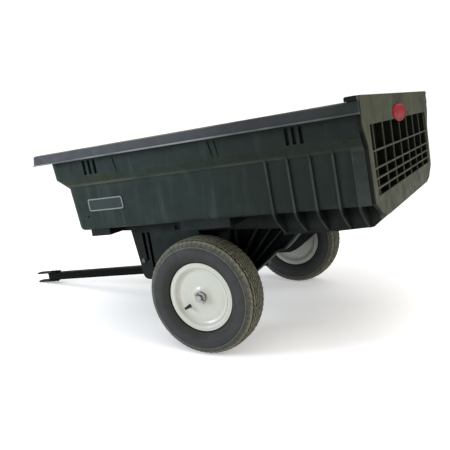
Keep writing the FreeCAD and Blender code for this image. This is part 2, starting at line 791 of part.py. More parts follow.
def clevis_nuts():
    top = tongue_half + strap_thickness
    nuts = []
    for x in clevis_bolt_x:
        nut = hexagon(clevis_bolt_flats, (x, 0, -top - clevis_nut_height), (x, 0, -top - 0.1))
        nuts.append(nut.cut(rod(clevis_bolt_radius + 0.05, (x, 0, -60), (x, 0, 0))))
    return group(nuts)


def tongue_plugs():
    """Plastic plugs that close the tongue's two ends."""
    inner = tongue_half - tongue_wall - 0.1
    plugs = []
    for end, inward in ((tongue_front_x, 1), (tongue_rear_x, -1)):
        x0, x1 = sorted((end, end + inward * 9))
        body = box(x0, x1, -inner, inner, -inner, inner)
        x0, x1 = sorted((end, end - inward * 2.5))
        face = box(x0, x1, -tongue_half + 1, tongue_half - 1, -tongue_half + 1, tongue_half - 1)
        plugs.append(join([body, face]))
    return group(plugs)


def cradle():
    """The saddle on the tongue: two cheeks welded to its sides and a seat between them, open along
    the arc on which the front brace leaves it."""
    cx, cz = to_tongue_frame(brace_x, brace_z)
    reach = math.hypot(cx, cz)
    out = V(cz / reach, 0, -cx / reach)
    across = V(-cx / reach, 0, -cz / reach)
    cheek = side_prism(
        [(cx - 48, -12), (cx + 48, -12), (cx + 48, 14), (cx + 26, cz + 2), (cx - 26, cz + 2), (cx - 48, 14)],
        tongue_half, tongue_half + 5,
    )
    seat = box(cx - 20, cx + 20, -tongue_half - 0.5, tongue_half + 0.5, cz - 24, cz - 8)
    body = join(both_sides(cheek) + [seat])
    room = rod(brace_radius + 2.3, (cx, -40, cz), (cx, 40, cz))
    centre = V(cx, -40, cz)
    corners = ((15.0, 0), (15.0, 60), (-15.0, 60), (-15.0, 0))
    gap = [centre + across * side + out * far for side, far in corners]
    way_out = Part.Face(Part.makePolygon(gap + gap[:1])).extrude(V(0, 80, 0))
    return body.cut(group([room, way_out]))


def cradle_clip():
    """A spring-steel strip round the lower half of the front brace."""
    cx, cz = to_tongue_frame(brace_x, brace_z)
    reach = math.hypot(cx, cz)
    out = V(cz / reach, 0, -cx / reach)
    across = V(-cx / reach, 0, -cz / reach)
    ring = tube(brace_radius + 2.2, brace_radius + 0.4, (cx, -17, cz), (cx, 17, cz))
    centre = V(cx, -18, cz)
    corners = ((20, 0), (20, 20), (-20, 20), (-20, 0))
    half = [centre + across * side + out * far for side, far in corners]
    upper = Part.Face(Part.makePolygon(half + half[:1])).extrude(V(0, 36, 0))
    return ring.cut(upper)


def axle_lock_bolt():
    """The bolt through tongue and axle that keeps the axle from sliding or turning."""
    half = tongue_half
    return join([rod(4.0, (0, 0, -half - 11), (0, 0, half)), hexagon(13, (0, 0, half), (0, 0, half + 5.3))])


def axle_lock_nut():
    half = tongue_half
    return hexagon(13, (0, 0, -half - 7.5), (0, 0, -half - 0.1)).cut(rod(4.05, (0, 0, -40), (0, 0, 0)))


# ---- assembly --------------------------------------------------------------------------------

def pitched(shape, degrees):
    placed = shape.copy()
    placed.rotate(V(0, 0, 0), Y_AXIS, -degrees)
    return placed


def build():
    """Every piece in its place at rest, with the origin on the ground below the cart's middle."""
    tub_pieces = {
        "tub": tub(),
        "left_axle_support": axle_support(),
        "right_axle_support": other_side(axle_support()),
        "pivot_bushes": group(both_sides(pivot_bush())),
        "support_bolts": support_bolts(),
        "support_nuts": support_nuts(),
        "front_brace": front_brace(),
        "brace_bolts": brace_bolts(),
        "side_plaques": side_plaques(),
        "tailgate": tailgate(),
        "tailgate_badge": tailgate_badge(),
    }
    tongue_pieces = {
        "tongue_tube": tongue_tube(),
        "clevis_upper_strap": clevis_strap(1),
        "clevis_lower_strap": clevis_strap(-1),
        "clevis_bolts": clevis_bolts(),
        "clevis_nuts": clevis_nuts(),
        "tongue_plugs": tongue_plugs(),
        "brace_cradle": cradle(),
        "cradle_clip": cradle_clip(),
        "axle": axle(),
        "axle_spacers": axle_spacers(),
        "axle_washers": axle_washers(),
        "cotter_pins": cotter_pins(),
        "axle_lock_bolt": axle_lock_bolt(),
        "axle_lock_nut": axle_lock_nut(),
    }
    pieces = {name: pitched(shape, tub_pitch) for name, shape in tub_pieces.items()}
    pieces.update({name: pitched(shape, tongue_pitch) for name, shape in tongue_pieces.items()})
    for label, side in (("left", -1), ("right", 1)):
        pieces.update({label + "_" + name: shape for name, shape in wheel_parts(side).items()})
    low = min(shape.BoundBox.XMin for shape in pieces.values())
    high = max(shape.BoundBox.XMax for shape in pieces.values())
    shift = V(-(low + high) / 2, 0, tyre_radius)
    for shape in pieces.values():
        shape.translate(shift)
    return pieces, shift


def main():
    os.makedirs("parts", exist_ok=True)
    pieces, shift = build()
    for name, shape in pieces.items():
        shape.exportStep("parts/" + name + ".step")
    print("axle centre", round(shift.x, 3), round(shift.z, 3), "tongue pitch", round(tongue_pitch, 4))


if __name__ == "__main__":
    main()
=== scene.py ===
import json
import math

import bpy
from mathutils import Matrix, Vector


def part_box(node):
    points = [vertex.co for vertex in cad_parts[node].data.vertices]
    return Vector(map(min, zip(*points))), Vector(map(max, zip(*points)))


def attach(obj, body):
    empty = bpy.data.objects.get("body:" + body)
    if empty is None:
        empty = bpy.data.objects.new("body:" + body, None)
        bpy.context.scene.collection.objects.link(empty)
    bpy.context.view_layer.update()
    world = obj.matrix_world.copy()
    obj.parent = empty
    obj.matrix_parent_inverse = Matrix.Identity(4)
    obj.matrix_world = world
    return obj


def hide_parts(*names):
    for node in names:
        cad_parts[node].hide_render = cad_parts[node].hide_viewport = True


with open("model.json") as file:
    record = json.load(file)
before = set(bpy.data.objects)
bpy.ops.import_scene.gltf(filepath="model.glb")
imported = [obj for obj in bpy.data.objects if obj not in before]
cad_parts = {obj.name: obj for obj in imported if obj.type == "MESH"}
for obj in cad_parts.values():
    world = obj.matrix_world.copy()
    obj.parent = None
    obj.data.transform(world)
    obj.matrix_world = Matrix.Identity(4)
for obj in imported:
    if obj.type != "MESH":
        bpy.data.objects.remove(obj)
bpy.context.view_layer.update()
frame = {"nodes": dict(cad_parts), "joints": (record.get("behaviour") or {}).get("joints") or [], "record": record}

# The looks of a tow-behind yard cart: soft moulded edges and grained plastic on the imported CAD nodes,
# and new meshes for the tyres, the pressed rims, the split pins and the medallion.
# Shapes are drawn in millimetres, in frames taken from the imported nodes.

MM = 0.001
Y_AXIS = Vector((0, 1, 0))

# tyre: repeats of the tread round it, steps in each, the crown's fall, grooves and lugs in millimetres
tread_repeats = 66
steps_per_repeat = 8
crown_drop = 9.0
crown_half = 46.0
crown_power = 3.2
groove_depth = 6.0
groove_edges = (2.4, 13.2, 24.0, 34.8)
groove_width = 6.0
zigzag = 2.4
lug_depth = 1.3

# radii of the tyre's marks, in metres, from the gap at the rim out to the tops of the ribs
rim_gap = 0.1205
sidewall_band = (0.138, 0.171)
ring_band = (0.1715, 0.1785)
lug_start = 0.1775
tread_start = 0.1885
rib_top = 0.199

# wheel and axle: thickness of the pressed steel, round segments, the split pins' wire and turn
sheet = 2.5
round_segments = 144
pin_wire = 1.5
pin_eye = 5.0
pin_turn = -50.0

# tub, in metres: the walls' lean and their half width at their foot, then heights above the axle
# along the tub's own up
wall_lean = 8.0 / 141.0
wall_half = 0.460
wall_foot = 0.271
shoulder_low = 0.405
shoulder_high = 0.46
rim_low = 0.509
rim_high = 0.546
overhang_low = 0.2
overhang_high = 0.264
supports_top = 0.21
plaque_top = 0.368

# medallion: half height in millimetres and points round its edge
medallion_half = 29.0
medallion_count = 128

# camera: angles in degrees, place from the axle's middle in metres, lens in millimetres
camera_azimuth = 28.14
camera_elevation = 11.83
camera_roll = -3.08
camera_from_axle = Vector((0.9635, -2.0659, 0.6322))
camera_lens = 47.12

# strength of the world as a light and as the backdrop, and the floor's own glow and half width
world_light = 0.28
world_backdrop = 1.05
floor_glow = 0.3
floor_half = 40

# widths of the rounded edges on CAD nodes, in millimetres
plain_edge = 0.7
edge_widths = {
    "tub": 2.0, "tailgate": 1.4, "left_axle_support": 1.6, "right_axle_support": 1.6, "tongue_tube": 2.0,
}


# ---- places from the frame -------------------------------------------------------------------

def middle(node):
    low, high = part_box(node)
    return (Vector(low) + Vector(high)) / 2


def size_mm(node):
    low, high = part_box(node)
    return (Vector(high) - Vector(low)) / MM


def placing(origin, x_axis=Vector((1, 0, 0)), z_axis=Vector((0, 0, 1))):
    """The matrix from millimetres in a local frame to the row frame."""
    turn = Matrix((x_axis, z_axis.cross(x_axis), z_axis)).transposed()
    return Matrix.Translation(origin) @ turn.to_4x4() @ Matrix.Scale(MM, 4)


def wheel_place(side):
    """The frame of a wheel, with its y axis pointing outboard."""
    centre = middle(side + "_tyre")
    if side == "left":
        return placing(centre) @ Matrix.Scale(-1, 4, Y_AXIS)
    return placing(centre)


axle_centre = middle("axle")
lift_axis = next(joint["axis"] for joint in frame["joints"] if joint["name"] == "tailgate_lift")
tub_up = Vector(lift_axis).normalized()
tub_back = Y_AXIS.cross(tub_up)


# ---- materials -------------------------------------------------------------------------------

class Surface:
    """A node material with drifting colour and roughness and a fine grain, laid out in the row frame."""

    def __init__(self, name, dark, light, rough=(0.5, 0.65), metallic=0.0, specular=0.4, coat=0.0):
        self.material = bpy.data.materials.new(name)
        self.material.use_nodes = True
        self.tree = self.material.node_tree
        self.shader = self.tree.nodes["Principled BSDF"]
        self.place = self.add("ShaderNodeTexCoord").outputs["Object"]
        self.shader.inputs["Metallic"].default_value = metallic
        self.shader.inputs["Specular IOR Level"].default_value = specular
        self.shader.inputs["Coat Weight"].default_value = coat
        self.shader.inputs["Coat Roughness"].default_value = 0.08
        drift = self.noise(9.0, detail=5)
        self.colour = self.mix(drift, dark, light)
        self.set_range("Roughness", self.noise(34.0, detail=3), *rough)
        self.height = None

    def add(self, kind):
        return self.tree.nodes.new(kind)

    def link(self, out, into):
        self.tree.links.new(out, into)

    def put(self, socket, value):
        """Links a socket, or sets it to a plain value."""
        if isinstance(value, bpy.types.NodeSocket):
            self.link(value, socket)
        else:
            socket.default_value = value

    def noise(self, scale, stretch=(1, 1, 1), detail=3, roughness=0.55):
        stretched = self.add("ShaderNodeMapping")
        self.link(self.place, stretched.inputs["Vector"])
        stretched.inputs["Scale"].default_value = stretch
        made = self.add("ShaderNodeTexNoise")
        self.link(stretched.outputs["Vector"], made.inputs["Vector"])
        made.inputs["Scale"].default_value = scale
        made.inputs["Detail"].default_value = detail
        made.inputs["Roughness"].default_value = roughness
        return made.outputs["Fac"]

    def range(self, value, low, high, to_low=0.0, to_high=1.0):
        mapped = self.add("ShaderNodeMapRange")
        mapped.interpolation_type = "SMOOTHSTEP"
        self.put(mapped.inputs["Value"], value)
        mapped.inputs["From Min"].default_value = low
        mapped.inputs["From Max"].default_value = high
        mapped.inputs["To Min"].default_value = to_low
        mapped.inputs["To Max"].default_value = to_high
        return mapped.outputs["Result"]

    def math(self, kind, a, b):
        made = self.add("ShaderNodeMath")
        made.operation = kind
        self.put(made.inputs[0], a)
        self.put(made.inputs[1], b)
        return made.outputs[0]

    def times(self, first, *others):
        for other in others:
            first = self.math("MULTIPLY", first, other)
        return first

    def mix(self, factor, a, b):
        made = self.add("ShaderNodeMix")
        made.data_type = "RGBA"
        self.put(made.inputs["Factor"], factor)
        for socket, value in ((made.inputs[6], a), (made.inputs[7], b)):
            self.put(socket, (*value, 1) if isinstance(value, tuple) else value)
        return made.outputs[2]

    def set_range(self, socket, value, low, high):
        self.link(self.range(value, 0.3, 0.7, low, high), self.shader.inputs[socket])

    def paint(self, factor, colour):
        """Lays a colour over the one below, by a factor."""
        self.colour = self.mix(factor, self.colour, colour)

    def along(self, origin, axis):
        """Distance in metres from a point, along an axis."""
        moved = self.add("ShaderNodeVectorMath")
        moved.operation = "SUBTRACT"
        self.link(self.place, moved.inputs[0])
        moved.inputs[1].default_value = origin
        dot = self.add("ShaderNodeVectorMath")
        dot.operation = "DOT_PRODUCT"
        self.link(moved.outputs[0], dot.inputs[0])
        dot.inputs[1].default_value = axis
        return dot.outputs["Value"]

    def from_axle(self):
        """Distance in metres from the axle's line."""
        flat = self.add("ShaderNodeVectorMath")
        flat.operation = "MULTIPLY_ADD"
        self.link(self.place, flat.inputs[0])
        flat.inputs[1].default_value = (1, 0, 1)
        flat.inputs[2].default_value = (-axle_centre.x, 0, -axle_centre.z)
        length = self.add("ShaderNodeVectorMath")
        length.operation = "LENGTH"
        self.link(flat.outputs[0], length.inputs[0])
        return length.outputs["Value"]

    def raise_by(self, value, strength, distance):
        """Adds a layer of bump."""
        bump = self.add("ShaderNodeBump")
        bump.inputs["Strength"].default_value = strength
        bump.inputs["Distance"].default_value = distance
        self.link(value, bump.inputs["Height"])
        if self.height is not None:
            self.link(self.height, bump.inputs["Normal"])
        self.height = bump.outputs["Normal"]

    def finished(self):
        self.link(self.colour, self.shader.inputs["Base Color"])
        if self.height is not None:
            self.link(self.height, self.shader.inputs["Normal"])
        return self.material


def band_between(made, value, low, high, soft):
    """One inside a band of a value and zero outside it, with soft edges."""
    return made.times(made.range(value, low, low + soft), made.range(value, high - soft, high, 1.0, 0.0))


def moulded_plastic(name, dark, light, bloom, rough=(0.5, 0.66)):
    """Polyethylene with a pebbled grain, faint vertical flow marks and a pale bloom in patches."""
    made = Surface(name, dark, light, rough, specular=0.12)
    flow = made.noise(26.0, stretch=(1.0, 1.0, 0.12), detail=4)
    made.paint(made.range(flow, 0.5, 0.8, 0.0, 0.5), bloom)
    scuffs = made.noise(70.0, stretch=(0.25, 1.0, 1.0), detail=8, roughness=0.75)
    made.paint(made.range(scuffs, 0.6, 0.78, 0.0, 0.4), bloom)
    made.raise_by(made.noise(2.5, detail=1), 0.25, 0.01)
    made.raise_by(made.noise(620.0, detail=2), 0.16, 0.0006)
    return made


def tub_plastic():
    """Dark green-black, with painted warm light on the shoulder, a painted reflection and painted highlights on
    the rim, painted highlights on the fin edges, and painted shade towards the rear, in the recess under the walls
    and under the tub.
    """
    dark, light, bloom = (0.006, 0.0115, 0.0095), (0.014, 0.024, 0.021), (0.036, 0.052, 0.048)
    made = moulded_plastic("tub_plastic", dark, light, bloom)
    height = made.along(tuple(axle_centre), tuple(tub_up))
    across = made.math("ABSOLUTE", made.along((0, 0, 0), (0, 1, 0)), 0.0)
    rearward = made.along(tuple(axle_centre), (1, 0, 0))
    patches = made.range(made.noise(14.0, stretch=(0.4, 1.0, 1.0), detail=4), 0.35, 0.65, 0.3, 1.0)

    # Painted warm light: an olive tint over the shoulder band, in patches.
    shoulder = band_between(made, height, shoulder_low, shoulder_high, 0.014)
    made.paint(made.times(shoulder, patches, 0.5), (0.019, 0.026, 0.0105))
    # Painted reflection: a pale bluish grey over the rim, strongest at the front and fading rearward.
    painted_rim_reflection = made.range(rearward, 0.4, 0.52, 0.85, 0.35)
    made.paint(made.times(made.range(height, rim_low, rim_low + 0.005), painted_rim_reflection), (0.046, 0.05, 0.055))
    # Painted highlight: a pale line along the rim's lower lip, in patches.
    lip = band_between(made, height, rim_low + 0.0005, rim_low + 0.008, 0.0018)
    made.paint(made.times(lip, patches), (0.19, 0.195, 0.195))
    # Painted highlight: warm beige along the rim's top edge, in patches.
    made.paint(made.times(made.range(height, rim_high - 0.0045, rim_high), patches), (0.2, 0.18, 0.15))

    # Painted highlight: a paler line on the fins' outer edges, where they stand proud of the wall.
    proud = made.math("SUBTRACT", across, made.times(height, wall_lean))
    wall_face = wall_half - wall_lean * wall_foot
    fins = made.range(proud, wall_face + 0.0035, wall_face + 0.006)
    painted_fin_highlight = made.times(fins, band_between(made, height, 0.25, 0.43, 0.01))
    made.paint(made.times(painted_fin_highlight, patches, 0.8), (0.06, 0.072, 0.064))

    # Painted shade: darker towards the rear.
    made.paint(made.range(rearward, -0.05, 0.25, 0.0, 0.5), (0.004, 0.006, 0.004))
    # Painted shade: near black in the recess under the walls' overhang, inboard of the wall face.
    painted_recess_shade = made.times(
        made.range(height, overhang_low, overhang_low + 0.045),
        made.range(height, overhang_high - 0.01, overhang_high, 1.0, 0.0),
    )
    inboard = made.range(across, wall_half - 0.012, wall_half - 0.004, 1.0, 0.0)
    made.paint(made.times(painted_recess_shade, inboard, 0.85), (0.0015, 0.002, 0.0015))
    # Painted shade: darker towards the bottom, under the tub.
    made.paint(made.range(height, supports_top, supports_top - 0.04, 0.0, 0.75), (0.0025, 0.004, 0.0035))
    return made


def gate_plastic():
    """The tailgate's plastic, with painted shade making the recessed skin between its ribs darker than their
    faces.
    """
    dark, light, bloom = (0.024, 0.029, 0.016), (0.052, 0.056, 0.035), (0.09, 0.09, 0.066)
    made = moulded_plastic("tailgate_plastic", dark, light, bloom)
    grime = made.noise(7.0, stretch=(1.0, 1.0, 0.6), detail=6, roughness=0.65)
    made.paint(made.range(grime, 0.46, 0.66, 0.0, 0.85), (0.017, 0.021, 0.012))
    # Painted shade: the recessed skin between the ribs made near black.
    depth = made.along(tuple(middle("tailgate_badge")), tuple(tub_back))
    made.paint(made.range(depth, -0.0062, -0.0035, 1.0, 0.0), (0.0025, 0.0028, 0.0022))
    return made


def plaque_plastic():
    """The name plaques: the wall's colour on the field, and a pale raised border."""
    made = Surface("plaque_grey", (0.009, 0.016, 0.0145), (0.018, 0.027, 0.025), (0.45, 0.6), specular=0.2)
    across = made.math("ABSOLUTE", made.along((0, 0, 0), (0, 1, 0)), 0.0)
    height = made.along(tuple(axle_centre), tuple(tub_up))
    out = made.math("SUBTRACT", across, made.math("MULTIPLY", height, wall_lean))
    level = size_mm("side_plaques").y / 2 * MM - wall_lean * plaque_top
    made.paint(made.range(out, level - 0.0009, level - 0.0005), (0.17, 0.185, 0.185))
    made.raise_by(made.noise(500.0, detail=2), 0.15, 0.0004)
    return made


def tyre_rubber():
    """Rubber with a rubbed tread, dust on the tread and its shoulders that is partly painted warm light, a painted
    highlight on each sidewall ring and a painted bluish sheen on the sidewalls.
    """
    made = Surface("tyre_rubber", (0.017, 0.018, 0.0165), (0.032, 0.033, 0.03), (0.6, 0.8), specular=0.22)
    radius = made.from_axle()
    # A noise that breaks up both the dust and the painted light on the tyre.
    dust_and_sheen = made.range(made.noise(60.0, detail=6, roughness=0.7), 0.35, 0.65, 0.5, 1.0)
    across = made.math("ABSOLUTE", made.along((0, 0, 0), (0, 1, 0)), 0.0)
    across = made.math("ABSOLUTE", made.math("SUBTRACT", across, abs(middle("left_tyre").y)), 0.0)
    fall = made.math("POWER", made.math("DIVIDE", across, crown_half * MM), crown_power)
    crown = made.math("ADD", radius, made.times(fall, crown_drop * MM))
    # Dust on the shoulder lugs, partly painted warm light.
    shoulder = made.times(made.range(radius, lug_start, lug_start + 0.0015), made.range(across, 0.04, 0.044))
    made.paint(made.times(shoulder, dust_and_sheen, 0.6), (0.1, 0.098, 0.078))
    # Painted highlight on the sidewall ring, broken up by the dust noise.
    ring = band_between(made, radius, *ring_band, 0.002)
    made.paint(made.times(ring, made.range(across, 0.0545, 0.056), dust_and_sheen), (0.095, 0.098, 0.088))
    tread = made.times(
        made.range(crown, tread_start, tread_start + 0.003), made.range(across, 0.042, 0.044, 1.0, 0.0)
    )
    made.paint(tread, (0.006, 0.006, 0.005))
    # Dust on the rib tops, lightened further as painted light.
    sipes = made.range(made.noise(230.0, detail=2), 0.4, 0.6, 0.6, 1.0)
    made.paint(made.times(made.range(crown, rib_top - 0.0018, rib_top), dust_and_sheen, sipes), (0.16, 0.156, 0.112))
    # Painted bluish sheen on the sidewall band.
    sidewall = band_between(made, radius, *sidewall_band, 0.008)
    made.paint(made.times(sidewall, dust_and_sheen, 0.4), (0.042, 0.046, 0.05))
    made.paint(made.range(radius, rim_gap, rim_gap + 0.003, 1.0, 0.0), (0.002, 0.002, 0.002))
    made.raise_by(made.noise(420.0, detail=3), 0.25, 0.0005)
    return made


def rim_paint():
    """Off-white enamel on pressed steel, a little uneven, with painted shade on the wheel's inboard side."""
    dark, light = (0.39, 0.395, 0.34), (0.49, 0.495, 0.435)
    made = Surface("rim_paint", dark, light, (0.28, 0.42), specular=0.5, coat=0.1)
    spots = made.noise(160.0, detail=5, roughness=0.7)
    made.paint(made.range(spots, 0.66, 0.78, 0.0, 0.5), (0.34, 0.33, 0.28))
    # Painted shade: darker on the wheel's inboard side.
    across = made.math("ABSOLUTE", made.along((0, 0, 0), (0, 1, 0)), 0.0)
    wheel_y = abs(middle("left_tyre").y)
    made.paint(made.range(across, wheel_y - 0.02, wheel_y - 0.005, 0.8, 0.0), (0.24, 0.26, 0.215))
    made.raise_by(made.noise(90.0, detail=2), 0.12, 0.0006)
    return made


def metal(name, dark, light, rough, stretch):
    """Brushed or plated steel with fine scratches along one direction."""
    made = Surface(name, dark, light, rough, metallic=1.0, specular=0.5)
    made.paint(made.range(made.noise(220.0, detail=4), 0.6, 0.8, 0.0, 0.45), tuple(0.4 * c for c in dark))
    made.raise_by(made.noise(900.0, stretch=stretch, detail=2), 0.2, 0.0002)
    return made


def black_paint():
    """Black enamel with a soft orange peel and a few dusty scratches."""
    dark, light = (0.001, 0.001, 0.0012), (0.0025, 0.0025, 0.0025)
    made = Surface("black_paint", dark, light, (0.3, 0.42), specular=0.05)
    scratches = made.noise(130.0, stretch=(0.12, 1, 1), detail=6, roughness=0.7)
    made.paint(made.range(scratches, 0.68, 0.78, 0.0, 0.4), (0.03, 0.03, 0.028))
    made.raise_by(made.noise(260.0, detail=2), 0.12, 0.0005)
    return made


def badge_red():
    """Glossy red acrylic with a faint cloudiness under its skin."""
    made = Surface("badge_red", (0.15, 0.0025, 0.005), (0.22, 0.005, 0.009), (0.36, 0.48), specular=0.08)
    made.raise_by(made.noise(60.0, detail=2), 0.05, 0.0006)
    return made


def small_plastic(name, dark, light, rough):
    made = Surface(name, dark, light, rough, specular=0.35)
    made.raise_by(made.noise(500.0, detail=2), 0.15, 0.0004)
    return made


finishes = {
    "tub_plastic": tub_plastic(),
    "tailgate_plastic": gate_plastic(),
    "badge_red": badge_red(),
    "plaque_grey": plaque_plastic(),
    "black_paint": black_paint(),
    "zinc_steel": metal("zinc_steel", (0.24, 0.245, 0.245), (0.38, 0.385, 0.385), (0.34, 0.5), (0.1, 1, 1)),
    "spring_steel": metal(
        "spring_steel", (0.05, 0.052, 0.054), (0.09, 0.09, 0.094), (0.35, 0.5), (1, 0.1, 1)
    ),
    "rim_paint": rim_paint(),
    "tyre_rubber": tyre_rubber(),
    "stem_rubber": small_plastic("stem_rubber", (0.016, 0.017, 0.009), (0.04, 0.042, 0.024), (0.55, 0.7)),
    "nylon": small_plastic("nylon", (0.42, 0.41, 0.36), (0.52, 0.5, 0.45), (0.4, 0.55)),
    "plug_plastic": small_plastic("plug_plastic", (0.008, 0.008, 0.008), (0.014, 0.014, 0.014), (0.4, 0.55)),
}
finishes = {name: made.finished() for name, made in finishes.items()}


# ---- shape helpers ---------------------------------------------------------------------------

def new_piece(name, data, body, slot, stands_for):
    """A piece in the scene that rides a body and stands for CAD nodes."""
    piece = bpy.data.objects.new(name, data)
    bpy.context.scene.collection.objects.link(piece)
    data.materials.append(finishes[slot])
    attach(piece, body)
    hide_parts(*stands_for)


def mesh_of(name, vertices, faces, place, sharp=40.0):
    mesh = bpy.data.meshes.new(name)
    mesh.from_pydata([place @ Vector(v) for v in vertices], [], faces)
    mesh.validate()
    if place.determinant() < 0:
        mesh.flip_normals()
    mesh.shade_smooth()
    mesh.set_sharp_from_angle(angle=math.radians(sharp))
    return mesh


def ring_faces(rings, count, closed):
    """Quads between successive rings of vertices."""
    faces = []
    for i in range(rings if closed else rings - 1):
        a, b = i * count, ((i + 1) % rings) * count
        for k in range(count):
            n = (k + 1) % count
            faces.append((a + k, a + n, b + n, b + k))
    return faces


def turned(profile, segments):
    """A closed (radius, y) outline turned about the y axis."""
    vertices = []
    for radius, y in profile:
        for k in range(segments):
            angle = 2 * math.pi * k / segments
            vertices.append((radius * math.cos(angle), y, radius * math.sin(angle)))
    return vertices, ring_faces(len(profile), segments, True)


def smooth_line(points, steps):
    """A curve through 2-D points."""
    padded = [points[0]] + list(points) + [points[-1]]
    line = []
    for p0, p1, p2, p3 in zip(padded, padded[1:], padded[2:], padded[3:]):
        for k in range(steps):
            t = k / steps
            line.append(tuple(
                0.5 * (
                    2 * b + (c - a) * t + (2 * a - 5 * b + 4 * c - d) * t * t
                    + (3 * b - a - 3 * c + d) * t ** 3
                )
                for a, b, c, d in zip(p0, p1, p2, p3)
            ))
    line.append(tuple(points[-1]))
    return line


def sheet_outline(line, thickness):
    """The closed outline of a sheet of metal along a centre line, with rounded ends."""
    half = thickness / 2
    sides = ([], [])
    ends = []
    for i, point in enumerate(line):
        before, after = line[max(i - 1, 0)], line[min(i + 1, len(line) - 1)]
        along = (Vector(after) - Vector(before)).normalized()
        across = Vector((-along.y, along.x))
        for side, sign in zip(sides, (1, -1)):
            side.append(tuple(Vector(point) + across * half * sign))
        if i in (0, len(line) - 1):
            way = -1 if i == 0 else 1
            ends.append([
                tuple(Vector(point) + (across * math.cos(a) + along * way * math.sin(a)) * half)
                for a in (math.radians(d) for d in (36, 72, 108, 144))
            ])
    return sides[0] + ends[1] + sides[1][::-1] + ends[0][::-1]


# ---- wheels ----------------------------------------------------------------------------------

def tyre_rows(radius):
    """Rows of the tyre's outline from the crown outwards: radius, y, zigzag and lug depth."""
    def crown(y):
        return radius - crown_drop * (abs(y) / crown_half) ** crown_power

    rows = [(crown(0), 0, zigzag, 0)]
    for edge in groove_edges:
        far = edge + groove_width
        rows += [(crown(edge), edge, zigzag, 0), (crown(edge) - groove_depth, edge + 1, zigzag, 0)]
        rows += [(crown(far) - groove_depth, far - 1, zigzag, 0), (crown(far), far, zigzag, 0)]
    rows += [(crown(45), 45, 0, 0), (radius - 9.6, 46.6, 0, 1), (radius - 14, 49.6, 0, 1)]
    rows += [(radius - 19.5, 52.8, 0, 1), (radius - 20.5, 53.2, 0, 0), (radius - 22.5, 53.8, 0, 0)]
    rows += [(radius - 23.2, 55.4, 0, 0), (radius - 26.6, 56.6, 0, 0), (radius - 27.6, 55.8, 0, 0)]
    wall = (
        (167, 57.3), (160, 58.5), (152, 58.5), (146, 57.3), (140, 55.2), (134, 52), (128, 47.8), (124, 43.6),
    )
    foot = ((121, 40), (118.6, 37), (108, 36.8), (102.2, 33.4), (102.2, 28))
    inside = ((120, 34), (150, 50), (180, 42), (191, 20))
    rows += [(r, y, 0, 0) for r, y in wall + foot + inside]
    return rows


def tyre(side):
    """A treaded casing: zigzag ribs round the crown, lugs on the shoulders and a ring on each sidewall."""
    radius = size_mm(side + "_tyre").z / 2
    half = tyre_rows(radius)
    rows = [(r, -y, z, lug) for r, y, z, lug in reversed(half[1:])] + half
    segments = tread_repeats * steps_per_repeat
    vertices = []
    for r, y, sway, lug in rows:
        for k in range(segments):
            step = (k % steps_per_repeat) / steps_per_repeat
            wave = 4 * abs(step - 0.5) - 1
            offset = 1 if y > 0 else 0
            gap = lug * lug_depth if (k + 4 * offset) % steps_per_repeat > 4 else 0
            angle = 2 * math.pi * k / segments
            reach = r - 0.5 * gap
            across = y + sway * wave - math.copysign(gap, y)
            vertices.append((reach * math.cos(angle), across, reach * math.sin(angle)))
    faces = ring_faces(len(rows), segments, True)
    name = side + "_tyre_casing"
    mesh = mesh_of(name, vertices, faces, wheel_place(side), sharp=32)
    new_piece(name, mesh, side + "_wheel", "tyre_rubber", [side + "_tyre"])


def rim_barrel(side):
    """The rolled steel barrel: a lip, a bead seat and a drop centre between two flanges."""
    half = [
        (90.5, 0), (90.5, 8), (92.5, 11.5), (97.5, 15.5), (99.8, 20), (100.2, 28), (100.6, 33.5), (102.8, 37),
        (107, 38.2), (112, 37.6), (116.7, 37.9),
    ]
    line = smooth_line([(r, -y) for r, y in reversed(half[1:])] + half, 4)
    vertices, faces = turned(sheet_outline(line, sheet), round_segments)
    name = side + "_rim_barrel_pressing"
    mesh = mesh_of(name, vertices, faces, wheel_place(side), sharp=50)
    new_piece(name, mesh, side + "_wheel", "rim_paint", [side + "_rim_barrel"])


def rim_discs(side):
    """The two dished discs: a turned-out edge, a shallow step and a raised middle round the hub."""
    points = [
        (98.6, 35.4), (97.2, 32.2), (93.5, 28.6), (88, 26.0), (84, 25.2), (80, 25.6), (70, 26.0), (58, 25.4),
        (44, 25.8), (36, 26.8), (30, 28.8), (25, 30.6), (18.9, 31.2),
    ]
    outline = sheet_outline(smooth_line(points, 4), sheet)
    for end, facing in (("outer", 1), ("inner", -1)):
        vertices, faces = turned(outline, round_segments)
        name = side + "_rim_disc_" + end
        place = wheel_place(side) @ Matrix.Scale(facing, 4, Y_AXIS)
        mesh = mesh_of(name, vertices, faces, place, sharp=50)
        new_piece(name, mesh, side + "_wheel", "rim_paint", [side + "_rim_disc"])


def cotter_pin(side, y):
    """A split pin: round its eye, down both legs and out to the bent tips."""
    turns = [math.radians(d) for d in range(30, 331, 30)]
    eye = [(pin_eye * math.sin(a), 17 - pin_eye * math.cos(a)) for a in turns]
    leg = [(1.15, 9), (1.15, -15), (3.4, -20), (6.0, -24.5)]
    path = [(-x, z) for x, z in reversed(leg)] + [(-x, z) for x, z in eye] + leg
    curve = bpy.data.curves.new(side + "_cotter_pin", "CURVE")
    curve.dimensions = "3D"
    curve.bevel_depth = pin_wire * MM
    curve.bevel_resolution = 4
    curve.resolution_u = 6
    curve.use_fill_caps = True
    spline = curve.splines.new("NURBS")
    spline.points.add(len(path) - 1)
    spline.use_endpoint_u = True
    spline.order_u = 3
    turn = placing(axle_centre) @ Matrix.Rotation(math.radians(pin_turn), 4, Y_AXIS)
    for point, (x, z) in zip(spline.points, path):
        point.co = (*(turn @ Vector((x, y, z))), 1)
    return curve


def cotter_pins():
    reach = size_mm("cotter_pins").y / 2 - 2.1
    for side, sign in (("left", -1), ("right", 1)):
        curve = cotter_pin(side, sign * reach)
        new_piece(side + "_cotter_pin", curve, "chassis", "zinc_steel", ["cotter_pins"])


# ---- medallion and plaques -------------------------------------------------------------------

